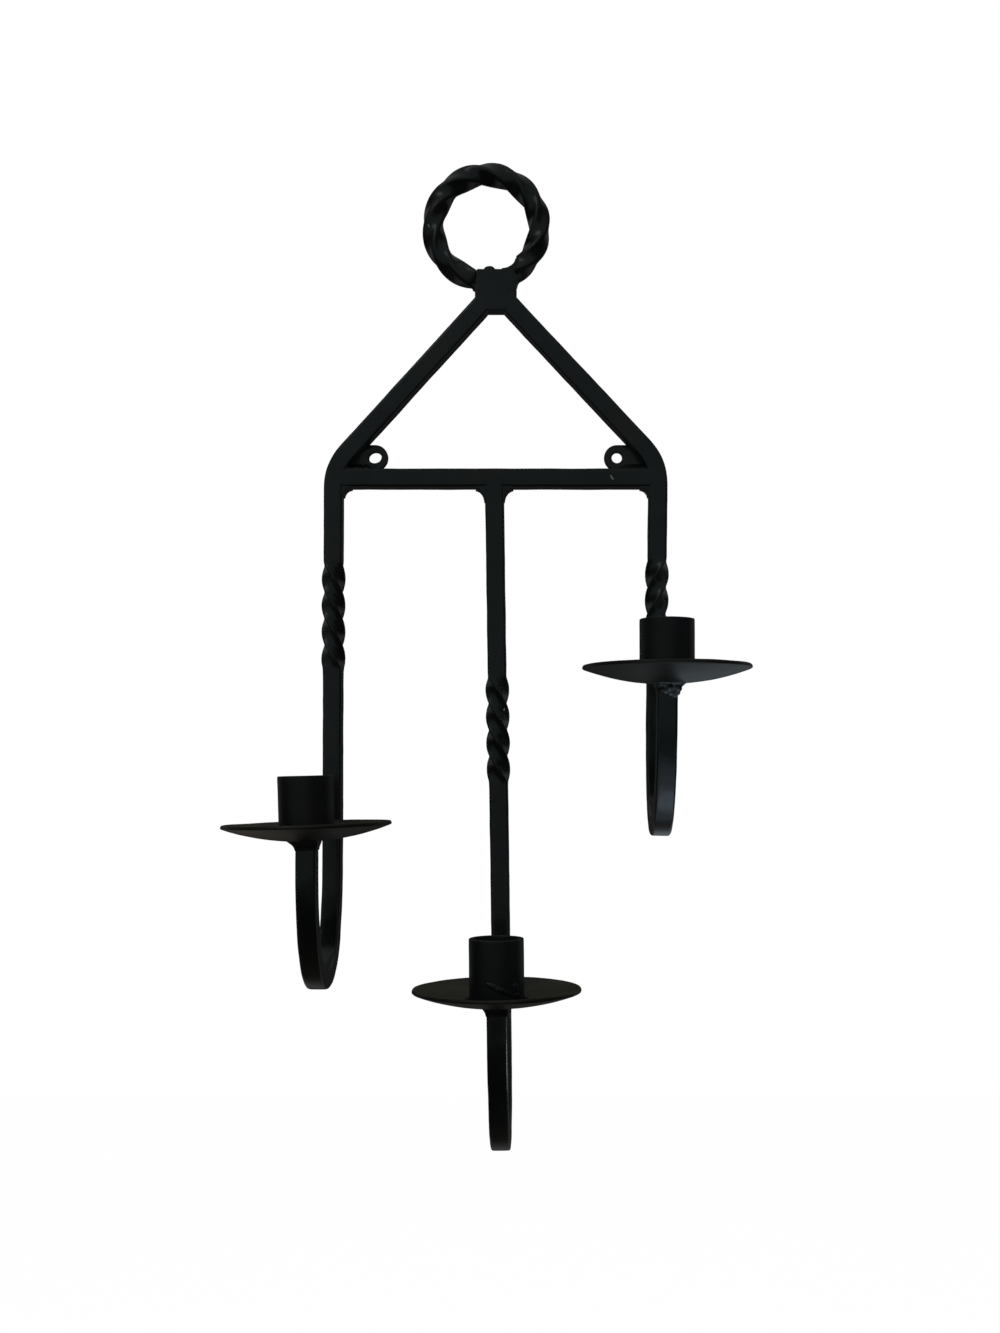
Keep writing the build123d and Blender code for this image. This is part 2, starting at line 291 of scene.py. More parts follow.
finishes = {
    "bar_paint": satinBlack("satin_black_on_bar", paintLook | {"chipsAndSheen": barChips}),
    "pan_paint": satinBlack("satin_black_on_sheet", sheetLook),
    # on the pans the paint is tinted warm olive: a painted warm reflection
    "pan_warm_reflection_tint": satinBlack("satin_black_on_pan_warm_reflection", sheetLook | {
        "dark": (0.0048, 0.0044, 0.0024, 1), "light": (0.0112, 0.0102, 0.0058, 1), "violetShare": 0.15}),
    "weld_paint": satinBlack("satin_black_on_weld", paintLook | {
        "clouds": (160.0, 4.0, 0.6), "wave": (420.0, 1.0, 0.4), "rough": 0.34, "bumpDepth": 0.16 * mm,
        # the weld's flecks and patches are pale grey; on the right arm's lumps this is partly a painted sheen
        "chipsAndSheen": weldChipsAndSheen, "chipRagged": 1.8 * mm, "fleckAndSheen": (0.11, 0.12, 0.12, 1)}),
}
print("paints mixed:", len(finishes))


finished = []


def finishPiece(piece, node, slot, finish=None):
    finished.append(piece)
    piece.data.materials.clear()
    piece.data.materials.append(finishes[finish or slot])
    onlySelect(piece)
    bpy.ops.object.shade_smooth()
    markEdges(piece)
    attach(piece, "root")
    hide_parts(node)


# Square bar, worked from its open end: drawn out, curled and wrung

barStock = {
    "side": 10.0 * mm, "edge": 1.3 * mm, "ringEdge": 2.0 * mm, "edgeSteps": 3, "flat": 2.5 * mm, "flatCuts": 2,
    "step": 4.0 * mm, "curlSteps": 5, "capInset": 1.4 * mm,
    "waveSize": 14.0 * mm, "waveDepth": 0.34 * mm, "waveLevel": 0.62,
}
half = barStock["side"] / 2
down = Vector((0, 0, -1))


class ForgedBar:
    def __init__(self, name, spot, way, edge=barStock["edge"]):
        self.spot = Vector(spot)
        self.way = Vector(way)
        bpy.ops.object.select_all(action="DESELECT")
        facing = self.way.to_track_quat("Z", "Y").to_euler()
        bpy.ops.mesh.primitive_plane_add(size=barStock["side"], location=self.spot, rotation=facing)
        self.piece = bpy.context.object
        self.piece.name = name
        bakeIn(self.piece)
        startEdit(self.piece)
        bpy.ops.mesh.select_all(action="SELECT")
        bpy.ops.mesh.bevel(offset=edge, segments=barStock["edgeSteps"], affect="VERTICES")
        bpy.ops.mesh.delete(type="ONLY_FACE")
        pick(self.piece, "EDGE", lambda side: side.calc_length() > barStock["flat"])
        bpy.ops.mesh.subdivide(number_cuts=barStock["flatCuts"])
        bpy.ops.mesh.select_all(action="SELECT")

    def draw(self, length):
        steps = max(1, round(length / barStock["step"]))
        for _ in range(steps):
            extrude(self.way * length / steps)
        self.spot += self.way * length

    def curl(self, radius, angle, toward):
        centre = self.spot + toward * radius
        axis = self.way.cross(toward)
        steps = max(barStock["curlSteps"], round(radius * angle / barStock["step"]))
        bpy.ops.mesh.spin(steps=steps, angle=-angle, center=centre, axis=axis)
        bend = Matrix.Rotation(angle, 3, axis)
        self.spot = centre + bend @ (self.spot - centre)
        self.way = bend @ self.way

    def wring(self, length, angle, steps, axis, squeeze=1.0, forward=0.0, ramp=4):  # twist a run along an axis
        middle = self.spot.copy()
        for number in range(steps):
            share = 1 if number < ramp else -1 if number >= steps - ramp else 0  # into the twist and out of it
            step = Vector((0, -forward * share / ramp, 0))
            middle += step
            extrude(self.way * length / steps + step)
            turn(angle / steps, axis, middle)
            stretch((squeeze**(share / ramp), squeeze**(share / ramp), 1), middle)
        self.spot += self.way * length

    def lean(self, angle, corner):  # swing all of it about Y
        bpy.ops.mesh.select_all(action="SELECT")
        turn(angle, "Y", corner)

    def workFrom(self, spot, way):  # take up the open end whose loop lies at a spot
        self.spot = Vector(spot)
        self.way = Vector(way)
        pick(self.piece, "VERT", lambda vert: (vert.co - self.spot).length < barStock["side"]
             and abs((vert.co - self.spot).dot(self.way)) < 10 * touch)

    def close(self):
        pickOpenEdges()
        bpy.ops.mesh.edge_face_add()
        bpy.ops.mesh.select_mode(type="FACE")
        bpy.ops.mesh.inset(thickness=barStock["capInset"], use_individual=True)
        stopEdit()
        mendNormals(self.piece)
        modify(self.piece, "SUBSURF", levels=1, render_levels=1)
        unevenness(self.piece, barStock["waveSize"], barStock["waveDepth"], barStock["waveLevel"])
        return self.piece


# Peaked frame and its three arms; rises and drops are from the cross bar's middle line

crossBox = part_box("cross_bar")
crossLevel = (crossBox[0][2] + crossBox[1][2]) / 2
barMiddle = -half  # the bars' middle plane in Y; their backs lie at 0
holeOut = mounts["wall_tabs"]["dims"]["spacing_x_mm"] / 2 * mm
peak = {
    "legOut": holeOut + 21.5 * mm, "apexRise": 93.0 * mm, "stubOut": 6.0 * mm, "stubRise": 109.5 * mm,
    "apexRadius": 6.2 * mm, "shoulderRadius": 26.0 * mm,
}
hook = {
    "depth": 71.8 * mm, "drop": 56.0 * mm, "bottomRadius": 30.6 * mm, "intoPan": 0.8 * mm,
    "twist": 55.5 * mm, "twistSteps": 36, "twistSqueeze": 0.98, "twistForward": 0.2 * mm,
}
arms = {
    "left": {"hand": -1, "lean": -0.2, "swing": 2.1, "shoulder": 5.7 * mm, "twistDrop": 44.6 * mm,
             "hookDrop": 264.2 * mm, "panRise": 76.0 * mm, "cupRise": 31.7 * mm},
    "centre": {"hand": -1, "lean": 0.8, "swing": 0.5, "shift": -0.8 * mm, "twistDrop": 104.4 * mm,
               "hookDrop": 344.7 * mm, "panRise": 77.3 * mm, "cupRise": 33.0 * mm},
    "right": {"hand": 1, "lean": -0.5, "swing": 0.3, "shoulder": 8.1 * mm, "twistDrop": 42.6 * mm,
              "hookDrop": 187.1 * mm, "panRise": 74.6 * mm, "cupRise": 31.2 * mm},
}
sides = {"left": -1, "right": 1}


def workArm(bar, arm, legTop):  # from the top of an upright leg down to its twist, hook and upright
    halfDepth = hook["depth"] / 2
    fall = hook["drop"] - hook["bottomRadius"]
    sideRadius = (halfDepth**2 + fall**2 - hook["bottomRadius"]**2) / (2 * (halfDepth - hook["bottomRadius"]))
    sideAngle = math.atan2(fall, sideRadius - halfDepth)
    swing = math.radians(arm["swing"])
    forward = Vector((-math.sin(swing), -math.cos(swing), 0))
    axis = down.cross(forward)
    bar.draw(arm["twistDrop"] - legTop)
    bar.wring(hook["twist"], -(arm["hand"] * math.tau + swing), hook["twistSteps"], "Z",
              hook["twistSqueeze"], hook["twistForward"])
    bar.draw(arm["hookDrop"] - half - hook["drop"] - arm["twistDrop"] - hook["twist"])
    bar.curl(sideRadius, sideAngle, forward)
    bar.curl(hook["bottomRadius"], math.pi - 2 * sideAngle, axis.cross(bar.way))
    bar.curl(sideRadius, sideAngle, axis.cross(bar.way))
    bar.draw(arm["panRise"] - half - hook["drop"] + hook["intoPan"])


def makeSideBar(name, side):
    arm = arms[name]
    lean = Matrix.Rotation(-math.radians(arm["lean"]), 3, "Y")
    slope = math.atan2(peak["legOut"] - peak["stubOut"], peak["apexRise"] - arm["shoulder"])
    bend = slope - side * math.radians(arm["lean"])
    corner = Vector((side * peak["legOut"], barMiddle, crossLevel + arm["shoulder"]))
    tangent = peak["shoulderRadius"] * math.tan(bend / 2)
    apexTangent = peak["apexRadius"] * math.tan(slope / 2)
    bar = ForgedBar(name + "_side_bar_forged", corner + down * tangent, down)
    workArm(bar, arm, tangent - arm["shoulder"])
    bar.lean(-math.radians(arm["lean"]), corner)
    bar.workFrom(corner + lean @ down * tangent, lean @ -down)
    bar.curl(peak["shoulderRadius"], bend, lean @ Vector((-side, 0, 0)))
    slopeLength = math.hypot(peak["legOut"] - peak["stubOut"], peak["apexRise"] - arm["shoulder"])
    bar.draw(slopeLength - tangent - apexTangent)
    bar.curl(peak["apexRadius"], slope, Vector((side * math.cos(slope), 0, math.sin(slope))))
    bar.draw(peak["stubRise"] - peak["apexRise"] - apexTangent)
    finishPiece(bar.close(), name + "_side_bar", "bar_paint")


def makeCentreBar():
    arm = arms["centre"]
    top = Vector((arm["shift"], barMiddle, crossLevel))
    bar = ForgedBar("centre_bar_forged", top, down)
    workArm(bar, arm, 0)
    bar.lean(-math.radians(arm["lean"]), top)
    finishPiece(bar.close(), "centre_bar", "bar_paint")


def makeCrossBar():
    bite = 6.0 * mm  # how far its ends run into the legs
    reach = peak["legOut"] - half + bite
    bar = ForgedBar("cross_bar_forged", (-reach, barMiddle, crossLevel), (1, 0, 0))
    bar.draw(2 * reach)
    finishPiece(bar.close(), "cross_bar", "bar_paint")


for name, side in sides.items():
    makeSideBar(name, side)
makeCentreBar()
makeCrossBar()
print("bars forged")


# Ring: a bar twisted straight, then bent round until its ends meet the stubs

ring = {
    "radius": 27.9 * mm, "shift": -5.1 * mm, "rise": 132.9 * mm, "quarter": 36.0, "phase": 3.0,
    "gap": 9.0, "stepAngle": 3.0, "bite": 0.3 * mm,
}
ringCentre = Vector((ring["shift"], barMiddle, crossLevel + ring["rise"]))
stubSide = peak["stubOut"] + half
stubTop = crossLevel + peak["stubRise"]


def makeRing():
    bottom = math.degrees(math.atan2(-math.sqrt(ring["radius"]**2 - ring["shift"]**2), -ring["shift"]))
    sweep = 360 - ring["gap"]
    length = ring["radius"] * math.radians(sweep)
    firstSpin = (bottom + ring["gap"] / 2 + ring["phase"]) / ring["quarter"] * 90
    bar = ForgedBar("hanging_ring_forged", (-length / 2, 0, 0), (1, 0, 0), barStock["ringEdge"])
    turn(math.radians(firstSpin), "X", bar.spot)
    bar.wring(length, math.radians(sweep / ring["quarter"] * 90), round(sweep / ring["stepAngle"]), "X")
    stopEdit()
    piece = bar.piece
    mendNormals(piece)
    modify(piece, "SUBSURF", levels=1, render_levels=1)
    modify(piece, "SIMPLE_DEFORM", deform_method="BEND", deform_axis="Z", angle=math.radians(sweep))
    piece.matrix_world = (
        Matrix.Translation(ringCentre)
        @ Matrix.Rotation(-math.radians(bottom + 270), 4, "Y")
        @ Matrix.Rotation(math.pi / 2, 4, "X")
        @ Matrix.Translation((0, -ring["radius"], 0)))
    bakeIn(piece)
    unevenness(piece, barStock["waveSize"], barStock["waveDepth"], barStock["waveLevel"])
    startEdit(piece)
    lowPart = ringCentre.z - ring["radius"] / 3
    for side in sides.values():  # trim each end to the side of its stub
        pick(piece, "FACE", lambda face: face.calc_center_median().z < lowPart
             and face.calc_center_median().x * side > 0)
        cut = side * (stubSide - ring["bite"])
        bpy.ops.mesh.bisect(plane_co=(cut, 0, 0), plane_no=(-side, 0, 0), clear_outer=True)
    pickOpenEdges()
    bpy.ops.mesh.edge_face_add()
    stopEdit()
    mendNormals(piece)
    finishPiece(piece, "hanging_ring", "bar_paint")


makeRing()
print("ring bent")


# Pans and cups stand on seats: the lowest point of each pan's underside, with the cup's axis up

pan = {
    "radius": 41.0 * mm, "dish": 7.4 * mm, "sheet": 2.0 * mm, "rimRound": 0.7 * mm,
    "around": 96, "rings": 14, "lastRing": 0.25, "waveSize": 26.0 * mm, "waveDepth": 0.5 * mm,
}
pan["ball"] = (pan["radius"]**2 + pan["dish"]**2) / (2 * pan["dish"])
cup = {
    "bore": mounts["left_candle"]["dims"]["r_mm"] * mm, "wall": 1.8 * mm, "around": 64, "rows": 8,
    "rimRound": 0.6 * mm, "waveSize": 18.0 * mm, "waveDepth": 0.3 * mm,
}
cupOut = cup["bore"] + cup["wall"]


def panHeight(out):  # of the underside, at a distance from the pan's middle
    return pan["ball"] - math.sqrt(pan["ball"]**2 - out**2)


def seatOf(name):
    mount = mounts[name + "_candle"]
    up = Vector(mount["axis"])
    mouth = Vector(mount["pos_m"]) + up * mount["dims"]["length_mm"] / 2 * mm
    right = Vector((1, 0, 0))
    right = (right - up * right.dot(up)).normalized()
    seat = Matrix((right, up.cross(right), up)).transposed().to_4x4()
    seat.translation = mouth - up * arms[name]["cupRise"]
    return seat


def putOn(piece, seat):
    piece.matrix_world = seat
    bakeIn(piece)


def circle(name, radius, height, around):
    bpy.ops.object.select_all(action="DESELECT")
    bpy.ops.mesh.primitive_circle_add(vertices=around, radius=radius, location=(0, 0, height), fill_type="NOTHING")
    piece = bpy.context.object
    piece.name = name
    bakeIn(piece)
    startEdit(piece)
    bpy.ops.mesh.select_all(action="SELECT")
    return piece


def makePan(name):
    piece = circle(name + "_drip_pan_dished", pan["radius"], panHeight(pan["radius"]), pan["around"])
    out = pan["radius"]
    for row in range(pan["rings"]):  # rings from the rim down to the middle
        nextOut = pan["radius"] * (pan["rings"] - row - 1 + pan["lastRing"]) / pan["rings"]
        extrude((0, 0, panHeight(nextOut) - panHeight(out)))
        stretch((nextOut / out, nextOut / out, 1), (0, 0, 0))
        out = nextOut
    bpy.ops.mesh.edge_face_add()
    bpy.ops.mesh.poke()
    stopEdit()
    mendNormals(piece)
    upright = piece.data.polygons[0].normal.z > 0
    modify(piece, "SOLIDIFY", thickness=pan["sheet"], offset=1 if upright else -1, use_even_offset=True)
    roundEdges(piece, pan["rimRound"])
    modify(piece, "SUBSURF", levels=1, render_levels=1)
    unevenness(piece, pan["waveSize"], pan["waveDepth"])
    putOn(piece, seatOf(name))
    # the pans take the warm olive tint, a painted warm reflection
    finishPiece(piece, name + "_drip_pan", "pan_paint", "pan_warm_reflection_tint")


def makeCup(name):
    foot = panHeight(cupOut) + pan["sheet"] / 2
    rise = arms[name]["cupRise"] - foot
    piece = circle(name + "_candle_cup_tube", cupOut, foot, cup["around"])
    for _ in range(cup["rows"]):
        extrude((0, 0, rise / cup["rows"]))
    extrude((0, 0, 0))
    stretch((cup["bore"] / cupOut, cup["bore"] / cupOut, 1), (0, 0, 0))
    for _ in range(cup["rows"]):
        extrude((0, 0, -rise / cup["rows"]))
    pickOpenEdges()
    bpy.ops.mesh.bridge_edge_loops()
    stopEdit()
    mendNormals(piece)
    roundEdges(piece, cup["rimRound"])
    modify(piece, "SUBSURF", levels=1, render_levels=1)
    unevenness(piece, cup["waveSize"], cup["waveDepth"])
    putOn(piece, seatOf(name))
    finishPiece(piece, name + "_candle_cup", "pan_paint")


for name in arms:
    makePan(name)
    makeCup(name)
print("pans dished and cups set")


# Tabs: strips with a round end and a screw hole, lying on the cross bar behind its top edge

tab = {
    "width": 13.6 * mm, "thickness": 3.0 * mm, "hole": 5.5 * mm, "around": 48,
    "intoBar": 79.6 * mm, "endBow": 0.3,  # its hidden end lies inside the side bar
    "backInset": 0.12 * mm, "edgeRound": 0.5 * mm,
    "leftOval": 1.22, "leftOvalTurn": 20.0,  # the left hole is worn to a tilted oval
}


def makeTab(name, side):
    hole = Vector((side * holeOut, -tab["backInset"], 0))
    piece = circle(name + "_tab_strip", tab["width"] / 2, 0, tab["around"])
    extrude((0, 0, 0))
    stretch((tab["hole"] / tab["width"], tab["hole"] / tab["width"], 1), (0, 0, 0))
    if name == "left":
        stretch((tab["leftOval"], 1, 1), (0, 0, 0))
        turn(math.radians(tab["leftOvalTurn"]), "Z", (0, 0, 0))
    endOut = (side * (tab["intoBar"] - holeOut), 0, 0)
    pick(piece, "VERT", lambda vert: vert.co.length > tab["width"] / 2 - touch and vert.co.x * side > touch)
    shift(endOut)
    stretch((tab["endBow"], 1, 1), endOut)
    stopEdit()
    piece.matrix_world = Matrix.Translation(hole) @ Matrix.Rotation(math.pi / 2, 4, "X")
    bakeIn(piece)
    mendNormals(piece)
    forward = piece.data.polygons[0].normal.y < 0
    modify(piece, "SOLIDIFY", thickness=tab["thickness"] - tab["backInset"], offset=1 if forward else -1)
    roundEdges(piece, tab["edgeRound"])
    finishPiece(piece, name + "_tab", "bar_paint")


for name, side in sides.items():
    makeTab(name, side)
print("tabs cut")


# Welds: plain lumps run together by a remesh, then roughened

weld = {
    "bite": 1.0 * mm, "inset": 0.35 * mm, "voxel": 0.4 * mm, "smooth": 6, "smoothShare": 0.5,
    "lumpSize": 3.4 * mm, "lumpDepth": 0.9 * mm, "lumpLevel": 0.55,
    "hollow": 0.09, "hollowSteps": 8, "hollowShare": 0.9, "around": 20, "rings": 12,
}


def block(low, high):
    low, high = Vector(low), Vector(high)
    bpy.ops.object.select_all(action="DESELECT")
    bpy.ops.mesh.primitive_cube_add(size=1, location=(low + high) / 2)
    piece = bpy.context.object
    piece.scale = [abs(size) for size in high - low]
    bakeIn(piece)
    return piece


def bead(spot, way, length, radius):  # a round bead along a line, with domed ends
    bpy.ops.object.select_all(action="DESELECT")
    facing = Vector(way).to_track_quat("Z", "Y").to_euler()
    bpy.ops.mesh.primitive_uv_sphere_add(
        segments=weld["around"], ring_count=weld["rings"], radius=radius, location=spot, rotation=facing)
    piece = bpy.context.object
    piece.scale.z = length / 2 / radius
    bakeIn(piece)
    return piece


def cornerBead(corner, sideA, sideB, legA, legB, length):  # a hollow fillet between two faces
    corner, sideA, sideB = Vector(corner), Vector(sideA), Vector(sideB)
    along = sideA.cross(sideB) * length / 2
    start = corner - (sideA + sideB) * weld["bite"] - along
    piece = block(start, corner + (sideA + sideB) * legA + along)
    startEdit(piece)
    far = legA - touch
    pick(piece, "EDGE", lambda edge: all(
        (vert.co - corner).dot(sideA) > far and (vert.co - corner).dot(sideB) > far for vert in edge.verts))
    bpy.ops.mesh.bevel(
        offset=weld["hollowShare"] * legA, segments=weld["hollowSteps"], profile=weld["hollow"], affect="EDGES")
    bpy.ops.mesh.select_all(action="SELECT")
    stretch([legB / legA if axis else 1 for axis in sideB], corner)
    stopEdit()
    return piece


def runTogether(pieces, name, node, lumpDepth=weld["lumpDepth"], smooth=weld["smooth"], ground=False):
    piece = joinAll(pieces, name)
    onlySelect(piece)
    piece.data.remesh_voxel_size = weld["voxel"]
    bpy.ops.object.voxel_remesh()
    modify(piece, "SMOOTH", factor=weld["smoothShare"], iterations=smooth)
    unevenness(piece, weld["lumpSize"], lumpDepth, weld["lumpLevel"])
    finishPiece(piece, node, "weld_paint", "bar_paint" if ground else "weld_paint")


underCross = crossLevel - half
overCross = crossLevel + half
frameWeld = {
    "crossLeg": 4.5 * mm, "teeWidth": 5.0 * mm, "teeHeight": 7.0 * mm,
    "tabDepth": 6.4 * mm, "tabHeight": 3.4 * mm, "tabLength": 15.0 * mm,
    "crotchFall": 5.0 * mm, "flushInset": 0.15 * mm, "proud": 0.03 * mm, "stubInset": 1.2 * mm,
    "groundLump": 0.08 * mm,  # the welds that are ground flush stay nearly smooth
}
frontFlush = -barStock["side"] - frameWeld["proud"]
barWidth = barStock["side"] - 2 * weld["inset"]
for name, side in sides.items():
    inner = (side * (peak["legOut"] - half), barMiddle, underCross)
    leg = frameWeld["crossLeg"]
    runTogether([cornerBead(inner, (-side, 0, 0), down, leg, leg, barWidth)],
                name + "_cross_weld_bead", name + "_cross_weld", frameWeld["groundLump"], ground=True)
    weldOut = side * (holeOut + (tab["hole"] + frameWeld["tabLength"]) / 2)
    runTogether([cornerBead((weldOut, -tab["thickness"], overCross), (0, -1, 0), (0, 0, 1), frameWeld["tabDepth"],
                            frameWeld["tabHeight"], frameWeld["tabLength"])],
                name + "_tab_weld_bead", name + "_tab_weld")
runTogether([cornerBead((arms["centre"]["shift"] + side * half, barMiddle, underCross), (side, 0, 0), down,
                        frameWeld["teeWidth"], frameWeld["teeHeight"], barWidth) for side in sides.values()],
            "tee_weld_beads", "tee_weld", frameWeld["groundLump"], ground=True)
crotch = crossLevel + peak["apexRise"] - frameWeld["crotchFall"]
stubReach = stubSide - frameWeld["stubInset"]
apexTop = (-frameWeld["flushInset"], stubTop + frameWeld["proud"])
runTogether([block((-peak["stubOut"], frontFlush, crotch), (peak["stubOut"], *apexTop)),
             block((-stubReach, frontFlush, crossLevel + peak["apexRise"] + half), (stubReach, *apexTop))],
            "apex_weld_fill", "apex_weld", frameWeld["groundLump"], ground=True)

ringWeld = {
    "radius": 2.2 * mm, "length": 6.4 * mm, "show": 2.2 * mm, "shift": -3.4 * mm, "depth": 7.6 * mm,
    "wedgeWidth": 8.0 * mm, "wedgeHeight": 5.8 * mm, "wedgeLength": 9.0 * mm,
    "left": 1.5 * mm, "right": 2.8 * mm, "underFall": 0.9, "width": 8.4 * mm,  # fillets under the ring
    "lump": 0.25 * mm, "smooth": 5,
}
ringBeads = [
    bead((ringWeld["shift"], -ringWeld["depth"], stubTop + ringWeld["show"] - ringWeld["radius"]), (1, 0, 0),
         ringWeld["length"], ringWeld["radius"]),
    cornerBead((stubSide, barMiddle, stubTop), (-1, 0, 0), (0, 0, 1), ringWeld["wedgeWidth"],
               ringWeld["wedgeHeight"], ringWeld["wedgeLength"]),
]
for name, side in sides.items():
    reach = ringWeld[name]
    near, far = (ringCentre.z - math.sqrt((ring["radius"] + half)**2 - (side * out - ring["shift"])**2)
                 for out in (stubSide, stubSide + reach))  # underside of the ring
    ringBeads.append(cornerBead((side * stubSide, barMiddle, far), (side, 0, 0), down, reach,
                                far - near + ringWeld["underFall"] * reach, ringWeld["width"]))
runTogether(ringBeads, "ring_weld_beads", "ring_welds", ringWeld["lump"], ringWeld["smooth"])

panWeld = {  # lean shifts the flare to one side; drops are runs of metal, x, y, z and radius in mm
    "height": 4.2 * mm, "foot": 0.4 * mm, "rows": 6, "flare": 1.8, "smooth": 3,
    "left": {"reach": 3.2 * mm, "lean": -0.5, "lump": 0.6 * mm, "drops": ()},
    "centre": {"reach": 2.1 * mm, "lean": -0.6, "lump": 0.5 * mm, "drops": ()},
    "right": {"reach": 3.4 * mm, "lean": 0.55, "lump": 1.1 * mm, "drops": (
        (-3.2, -5.0, -2.6, 1.7), (-1.4, -5.2, -3.6, 1.6), (0.8, -5.2, -4.6, 1.7), (2.8, -5.0, -5.4, 1.8),
        (3.9, -4.6, -4.0, 1.9), (0.6, -5.8, -2.2, 2.0), (4.6, -5.2, -2.2, 2.0))},
}
tack = {  # each is a short run of beads, thicker in its middle
    "radius": 2.2 * mm, "count": 3, "first": 270.0, "beads": 5, "spread": 50.0, "out": 0.7, "rise": 0.25,
    "thin": 0.62, "swell": 0.2, "swellTurn": 3, "lump": 0.5 * mm, "smooth": 3,
}
smear = {  # weld metal up the front of the centre cup: degrees round from the front, height and radius in mm
    "thick": 1.3 * mm,
    "lumps": (
        (-17, 12.4, 1.2), (-11, 11.9, 1.5), (-4, 11.2, 1.7), (4, 10.3, 1.7), (12, 9.5, 1.6), (20, 8.8, 1.5),
        (28, 8.0, 1.4), (42, 11.2, 1.6), (44, 9.2, 1.9), (45, 7.0, 1.8)),
}


def makePanWeld(name):  # a collar that flares from the upright to the pan
    shape = panWeld[name]
    collar = ForgedBar(name + "_pan_weld_collar", (0, 0, -panWeld["height"]), (0, 0, 1))
    middle = (-shape["lean"] * half, 0, 0)
    size = 1 + 2 * panWeld["foot"] / barStock["side"]
    stretch((size, size, 1), (0, 0, 0))
    rise = panWeld["height"] + pan["sheet"] / 2
    for row in range(1, panWeld["rows"] + 1):
        share = (row / panWeld["rows"])**panWeld["flare"]
        nextSize = 1 + 2 * (panWeld["foot"] + (shape["reach"] - panWeld["foot"]) * share) / barStock["side"]
        extrude((0, 0, rise / panWeld["rows"]))
        stretch((nextSize / size, nextSize / size, 1), middle)
        size = nextSize
    pickOpenEdges()
    bpy.ops.mesh.edge_face_add()
    stopEdit()
    mendNormals(collar.piece)
    putOn(collar.piece, seatOf(name))
    drops = [bead(seatOf(name) @ (Vector(drop[:3]) * mm), (0, 0, 1), 2 * drop[3] * mm, drop[3] * mm)
             for drop in shape["drops"]]
    runTogether([collar.piece] + drops, name + "_pan_weld_bead", name + "_pan_weld",
                shape["lump"], panWeld["smooth"])


def makeCupTacks(name):
    seat = seatOf(name)
    out = cupOut - cup["wall"] / 2 + tack["radius"] * tack["out"]
    height = panHeight(out) + pan["sheet"] + tack["radius"] * tack["rise"]
    beads = []
    for number in range(tack["count"]):
        for step in range(tack["beads"]):
            lag = (step / (tack["beads"] - 1) - 0.5) * tack["spread"]
            angle = math.radians(tack["first"] + number * 360 / tack["count"] + lag)
            spot = seat @ Vector((out * math.cos(angle), out * math.sin(angle), height))
            size = tack["radius"] * (tack["thin"] + tack["swell"] * math.cos(math.radians(lag * tack["swellTurn"])))
            beads.append(bead(spot, (0, 0, 1), 2 * size, size))
    for angle, rise, size in smear["lumps"] if name == "centre" else ():
        angle = math.radians(tack["first"] + angle)
        outward = Vector((math.cos(angle), math.sin(angle), 0))
        spot = seat @ (outward * cupOut + Vector((0, 0, rise * mm)))
        beads.append(bead(spot, seat.to_3x3() @ outward, smear["thick"], size * mm))
    runTogether(beads, name + "_cup_weld_tacks", name + "_cup_welds", tack["lump"], tack["smooth"])


for name in arms:
    makePanWeld(name)
    makeCupTacks(name)
print("welds run")


# Floor, lamps, room and camera

room = {
    "floorLevel": -1.2, "floorSize": 8.0, "floor": (0.80, 0.80, 0.79, 1), "glow": 0.992,
    "white": (1, 1, 1, 1), "mirrored": 0.022,  # how much of the white the paint mirrors
}


def paperPaint(name):  # white to the camera with a trace of shadow, clear to all other rays
    material, paint = newMaterial(name)
    camera, transmission = paint.rays("Camera", "Transmission")
    diffuse = paint.node("ShaderNodeBsdfDiffuse", None, {"Color": room["floor"]})
    glow = paint.node("ShaderNodeEmission", None, {"Color": room["white"], "Strength": 1.0})
    clear = paint.node("ShaderNodeBsdfTransparent")
    shader = paint.blend(camera.most(transmission), clear, paint.blend(room["glow"], diffuse, glow))
    paint.node("ShaderNodeOutputMaterial", None, {"Surface": shader})
    return material


bpy.ops.object.select_all(action="DESELECT")
bpy.ops.mesh.primitive_plane_add(size=room["floorSize"], location=(0, 0, room["floorLevel"]))
floor = bpy.context.object
floor.name = "floor"
bakeIn(floor)
floor.data.materials.append(paperPaint("pale_floor"))

